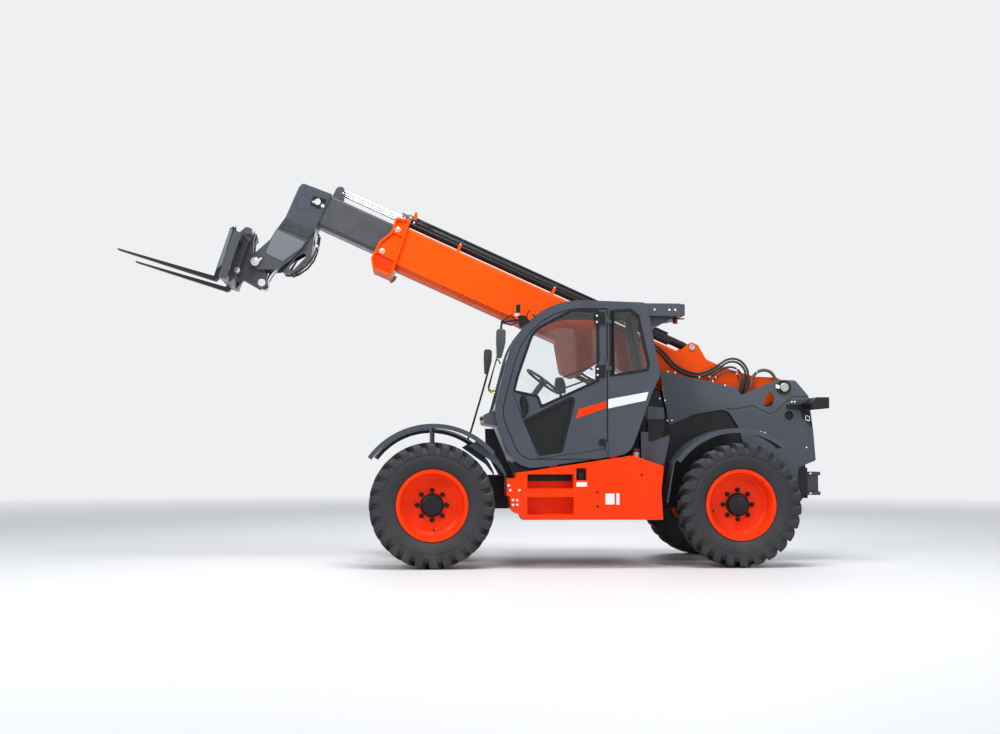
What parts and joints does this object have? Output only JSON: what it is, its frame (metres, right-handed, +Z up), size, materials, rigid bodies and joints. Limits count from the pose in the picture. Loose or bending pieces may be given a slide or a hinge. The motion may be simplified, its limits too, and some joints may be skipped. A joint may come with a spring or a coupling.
{
  "type": "telehandler",
  "caption": "Telescopic handler with a two-section boom on the centre line, pallet forks, a side cab and four steered wheels of one size",
  "frame": {"origin": "middle of the bounding box, on the ground", "axes": "X forward towards the fork tips, Y to the machine's left (the cab side), Z up"},
  "size_m": [7.3401, 2.4, 3.9612],
  "materials": {
    "slate": "slate grey gloss paint",
    "orange": "bright orange gloss paint",
    "charcoal": "charcoal grey satin paint",
    "black": "black satin paint",
    "glass": "clear, faintly green",
    "tyre": "worn dark grey rubber",
    "chrome": "polished chrome",
    "fabric": "dark woven cover",
    "plastic": "dark grey grained plastic",
    "hose": "black rubber with a dull bloom",
    "iron": "painted castings"
  },
  "bodies": {
    "chassis": {"hose_long_upper": "hose", "hose_long_lower": "hose", "hose_short_upper": "hose", "hose_short_lower": "hose", "hose_return": "hose", "chassis_frame": "black", "side_plates": "slate", "counterweight": "slate", "front_axle": "iron", "rear_axle": "iron", "step_tank": "orange", "engine_block": "iron", "engine_tray": "slate", "front_fenders": "slate", "rear_fenders": "slate", "cab_frame": "slate", "cab_roof": "slate", "cab_glass": "glass", "seat": "fabric", "dashboard": "plastic", "front_cowl": "plastic", "side_gear": "charcoal", "lamps": "plastic", "mirrors": "plastic"},
    "door": {"door_panel": "slate", "door_glass": "glass"},
    "hood": {"engine_hood": "slate"},
    "boom": {"boom_outer": "orange", "extension_barrel": "charcoal"},
    "telescope": {"boom_inner": "charcoal", "boom_head": "charcoal", "extension_rod": "chrome"},
    "carriage": {"carriage": "charcoal", "forks": "charcoal"},
    "lift_barrel": {"lift_barrel": "black"},
    "lift_rod": {"lift_rod": "chrome"},
    "tilt_barrel": {"tilt_barrel": "black"},
    "tilt_rod": {"tilt_rod": "chrome"},
    "knuckle_front_left": {"knuckle_front_left": "iron"},
    "wheel_front_left": {"tyre_front_left": "tyre", "rim_front_left": "orange"},
    "knuckle_front_right": {"knuckle_front_right": "iron"},
    "wheel_front_right": {"tyre_front_right": "tyre", "rim_front_right": "orange"},
    "knuckle_rear_left": {"knuckle_rear_left": "iron"},
    "wheel_rear_left": {"tyre_rear_left": "tyre", "rim_rear_left": "orange"},
    "knuckle_rear_right": {"knuckle_rear_right": "iron"},
    "wheel_rear_right": {"tyre_rear_right": "tyre", "rim_rear_right": "orange"}
  },
  "joints": [
    {"name": "steer_front_left", "type": "hinge", "parent": "chassis", "child": "knuckle_front_left", "pos_m": [0.48, 0.76, 0.616], "axis": [0, 0, 1], "range_deg": [-35, 35]},
    {"name": "steer_front_right", "type": "hinge", "parent": "chassis", "child": "knuckle_front_right", "pos_m": [0.48, -0.76, 0.616], "axis": [0, 0, 1], "range_deg": [-35, 35]},
    {"name": "spin_front_left", "type": "hinge", "parent": "knuckle_front_left", "child": "wheel_front_left", "pos_m": [0.48, 0.925, 0.616], "axis": [0, 1, 0], "continuous": true},
    {"name": "spin_front_right", "type": "hinge", "parent": "knuckle_front_right", "child": "wheel_front_right", "pos_m": [0.48, -0.925, 0.616], "axis": [0, 1, 0], "continuous": true},
    {"name": "steer_rear_left", "type": "hinge", "parent": "chassis", "child": "knuckle_rear_left", "pos_m": [-2.56, 0.76, 0.616], "axis": [0, 0, 1], "range_deg": [-35, 35]},
    {"name": "steer_rear_right", "type": "hinge", "parent": "chassis", "child": "knuckle_rear_right", "pos_m": [-2.56, -0.76, 0.616], "axis": [0, 0, 1], "range_deg": [-35, 35]},
    {"name": "spin_rear_left", "type": "hinge", "parent": "knuckle_rear_left", "child": "wheel_rear_left", "pos_m": [-2.56, 0.925, 0.616], "axis": [0, 1, 0], "continuous": true},
    {"name": "spin_rear_right", "type": "hinge", "parent": "knuckle_rear_right", "child": "wheel_rear_right", "pos_m": [-2.56, -0.925, 0.616], "axis": [0, 1, 0], "continuous": true},
    {"name": "door_hinge", "type": "hinge", "parent": "chassis", "child": "door", "pos_m": [-1.228, 1.114, 1.8], "axis": [0, 0, 1], "range_deg": [0, 100]},
    {"name": "hood_hinge", "type": "hinge", "parent": "chassis", "child": "hood", "pos_m": [-1.05, -0.38, 1.5], "axis": [-1, 0, 0], "range_deg": [0, 60]},
    {"name": "boom_lift", "type": "hinge", "parent": "chassis", "child": "boom", "pos_m": [-3.214, 0, 1.818], "axis": [0, -1, 0], "range_deg": [-25.5, 44]},
    {"name": "boom_extend", "type": "slide", "parent": "boom", "child": "telescope", "axis": [0.9121, 0, 0.4099], "range_m": [-0.55, 1.9]},
    {"name": "carriage_tilt", "type": "hinge", "parent": "telescope", "child": "carriage", "pos_m": [2.32341, 0, 3.12365], "axis": [0, 1, 0], "range_deg": [-18, 75]},
    {"name": "lift_barrel_pin", "type": "hinge", "parent": "chassis", "child": "lift_barrel", "pos_m": [-3, 0, 1], "axis": [0, -1, 0], "range_deg": [-22.44, 38.72]},
    {"name": "lift_rod_slide", "type": "slide", "parent": "lift_barrel", "child": "lift_rod", "axis": [0.8937, 0, 0.4486], "range_m": [-0.35, 0.601]},
    {"name": "tilt_barrel_pin", "type": "hinge", "parent": "telescope", "child": "tilt_barrel", "pos_m": [1.68141, 0, 3.75935], "axis": [0, -1, 0], "range_deg": [-3, 0.72]},
    {"name": "tilt_rod_slide", "type": "slide", "parent": "tilt_barrel", "child": "tilt_rod", "axis": [0.5458, 0, -0.8379], "range_m": [-0.277, 0.068]}
  ],
  "couplings": [
    {"joint": "steer_front_right", "follows": "steer_front_left", "ratio": 1},
    {"joint": "steer_rear_right", "follows": "steer_rear_left", "ratio": 1},
    {"joint": "lift_barrel_pin", "follows": "boom_lift", "ratio": 0.88},
    {"joint": "lift_rod_slide", "follows": "boom_lift", "m_per_rad": 0.78},
    {"joint": "tilt_barrel_pin", "follows": "carriage_tilt", "ratio": -0.04},
    {"joint": "tilt_rod_slide", "follows": "carriage_tilt", "m_per_rad": -0.21}
  ]
}
